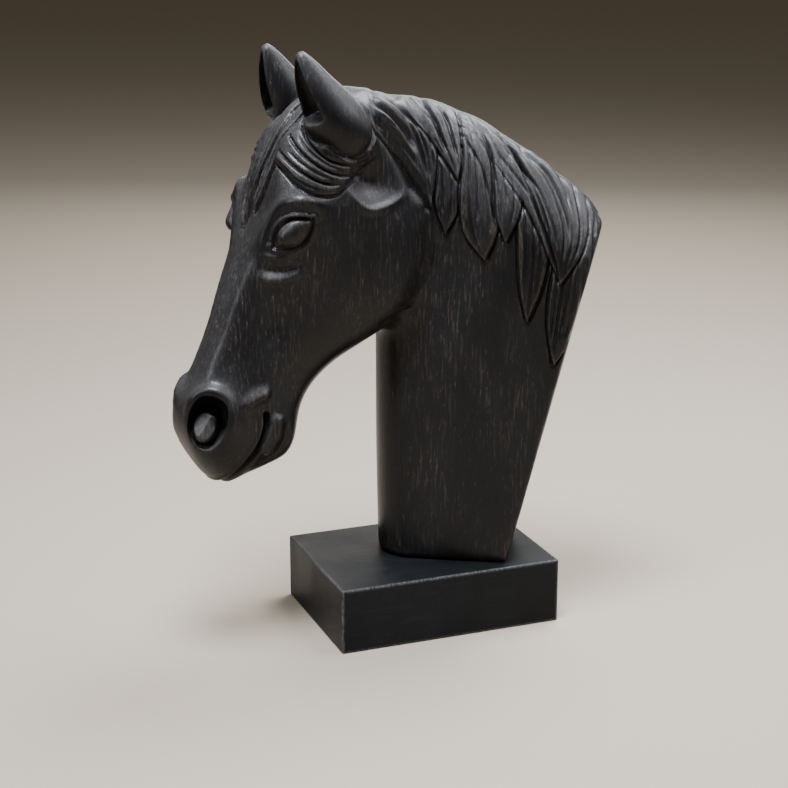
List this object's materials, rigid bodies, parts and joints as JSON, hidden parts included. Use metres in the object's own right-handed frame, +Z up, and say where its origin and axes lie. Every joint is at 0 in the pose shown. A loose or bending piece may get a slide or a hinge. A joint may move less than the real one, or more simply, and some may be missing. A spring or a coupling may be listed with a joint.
{
  "type": "carved wooden horse head sculpture",
  "caption": "Horse head and neck carved in dark-stained wood with a mane of pointed locks, standing on a rectangular black block.",
  "frame": {"origin": "centre of the block's flat underside, which the object rests on", "axes": "+Z up, the block's long side along Y, the horse looks towards -Y, its left side is +X"},
  "size_m": [0.1979, 0.4453, 0.5963],
  "materials": {
    "block_wood": "black-stained wood with a satin coat, edges worn a little pale",
    "carved_wood": "carved wood, stained near-black and waxed to a satin, rubbed through to brown along the grain"
  },
  "bodies": {
    "root": {"plinth": "block_wood", "horse_head": "carved_wood"}
  },
  "joints": []
}
